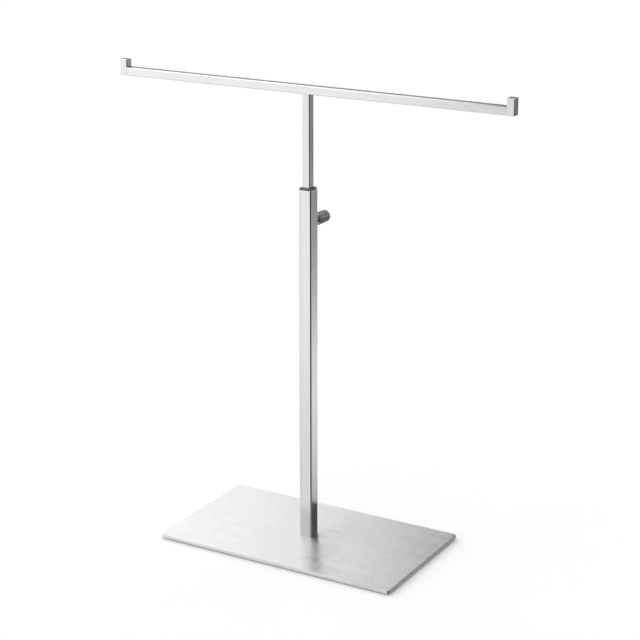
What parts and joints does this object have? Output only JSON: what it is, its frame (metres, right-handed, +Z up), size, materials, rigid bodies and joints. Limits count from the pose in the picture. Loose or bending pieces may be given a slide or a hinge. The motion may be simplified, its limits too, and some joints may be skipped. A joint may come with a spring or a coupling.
{
  "type": "t-bar display stand",
  "caption": "Counter-top T-bar display stand: square crossbar with upturned ends on a telescopic square post, thumb screw at the back, flat rectangular base plate.",
  "frame": {"origin": "on the floor, under the middle of the base plate, which is the middle of the bounding box's bottom face", "axes": "+X along the crossbar and the plate's long side, +Y to the back where the thumb screw is, +Z up along the post"},
  "size_m": [0.489, 0.17, 0.542],
  "materials": {
    "plate_steel": "satin, brushed along the plate's length",
    "post_steel": "satin, brushed along the tube",
    "bar_steel": "satin, brushed along the bar",
    "stop_steel": "satin, brushed upright",
    "knob_steel": "darkened, fine diamond knurl",
    "screw_steel": "turned, bright",
    "plain_steel": "plain machined",
    "guide_nylon": "moulded, satin black",
    "pad_nylon": "natural nylon",
    "foot_rubber": "matt black"
  },
  "bodies": {
    "stand": {"base_plate": "plate_steel", "front_left_foot": "foot_rubber", "front_right_foot": "foot_rubber", "back_left_foot": "foot_rubber", "back_right_foot": "foot_rubber", "foot_plug": "plain_steel", "front_base_screw": "screw_steel", "back_base_screw": "screw_steel", "outer_post": "post_steel", "guide_bush": "guide_nylon", "screw_boss": "screw_steel"},
    "mast": {"inner_post": "post_steel", "glide_plug": "guide_nylon", "crossbar": "bar_steel", "left_end_stop": "stop_steel", "right_end_stop": "stop_steel"},
    "pad": {"clamp_pad": "pad_nylon"},
    "thumb_screw": {"clamp_screw": "screw_steel", "clamp_knob": "knob_steel"}
  },
  "joints": [
    {"name": "height_slide", "type": "slide", "parent": "stand", "child": "mast", "axis": [0, 0, 1], "range_m": [-0.1025, 0.18]},
    {"name": "clamp_advance", "type": "slide", "parent": "stand", "child": "pad", "axis": [0, 1, 0], "range_m": [0, 0.004]},
    {"name": "clamp_turn", "type": "hinge", "parent": "pad", "child": "thumb_screw", "pos_m": [0, 0.0138, 0.38], "axis": [0, 1, 0], "range_deg": [0, 1440]}
  ],
  "couplings": [
    {"joint": "clamp_turn", "follows": "clamp_advance", "rad_per_m": 6283.2}
  ]
}
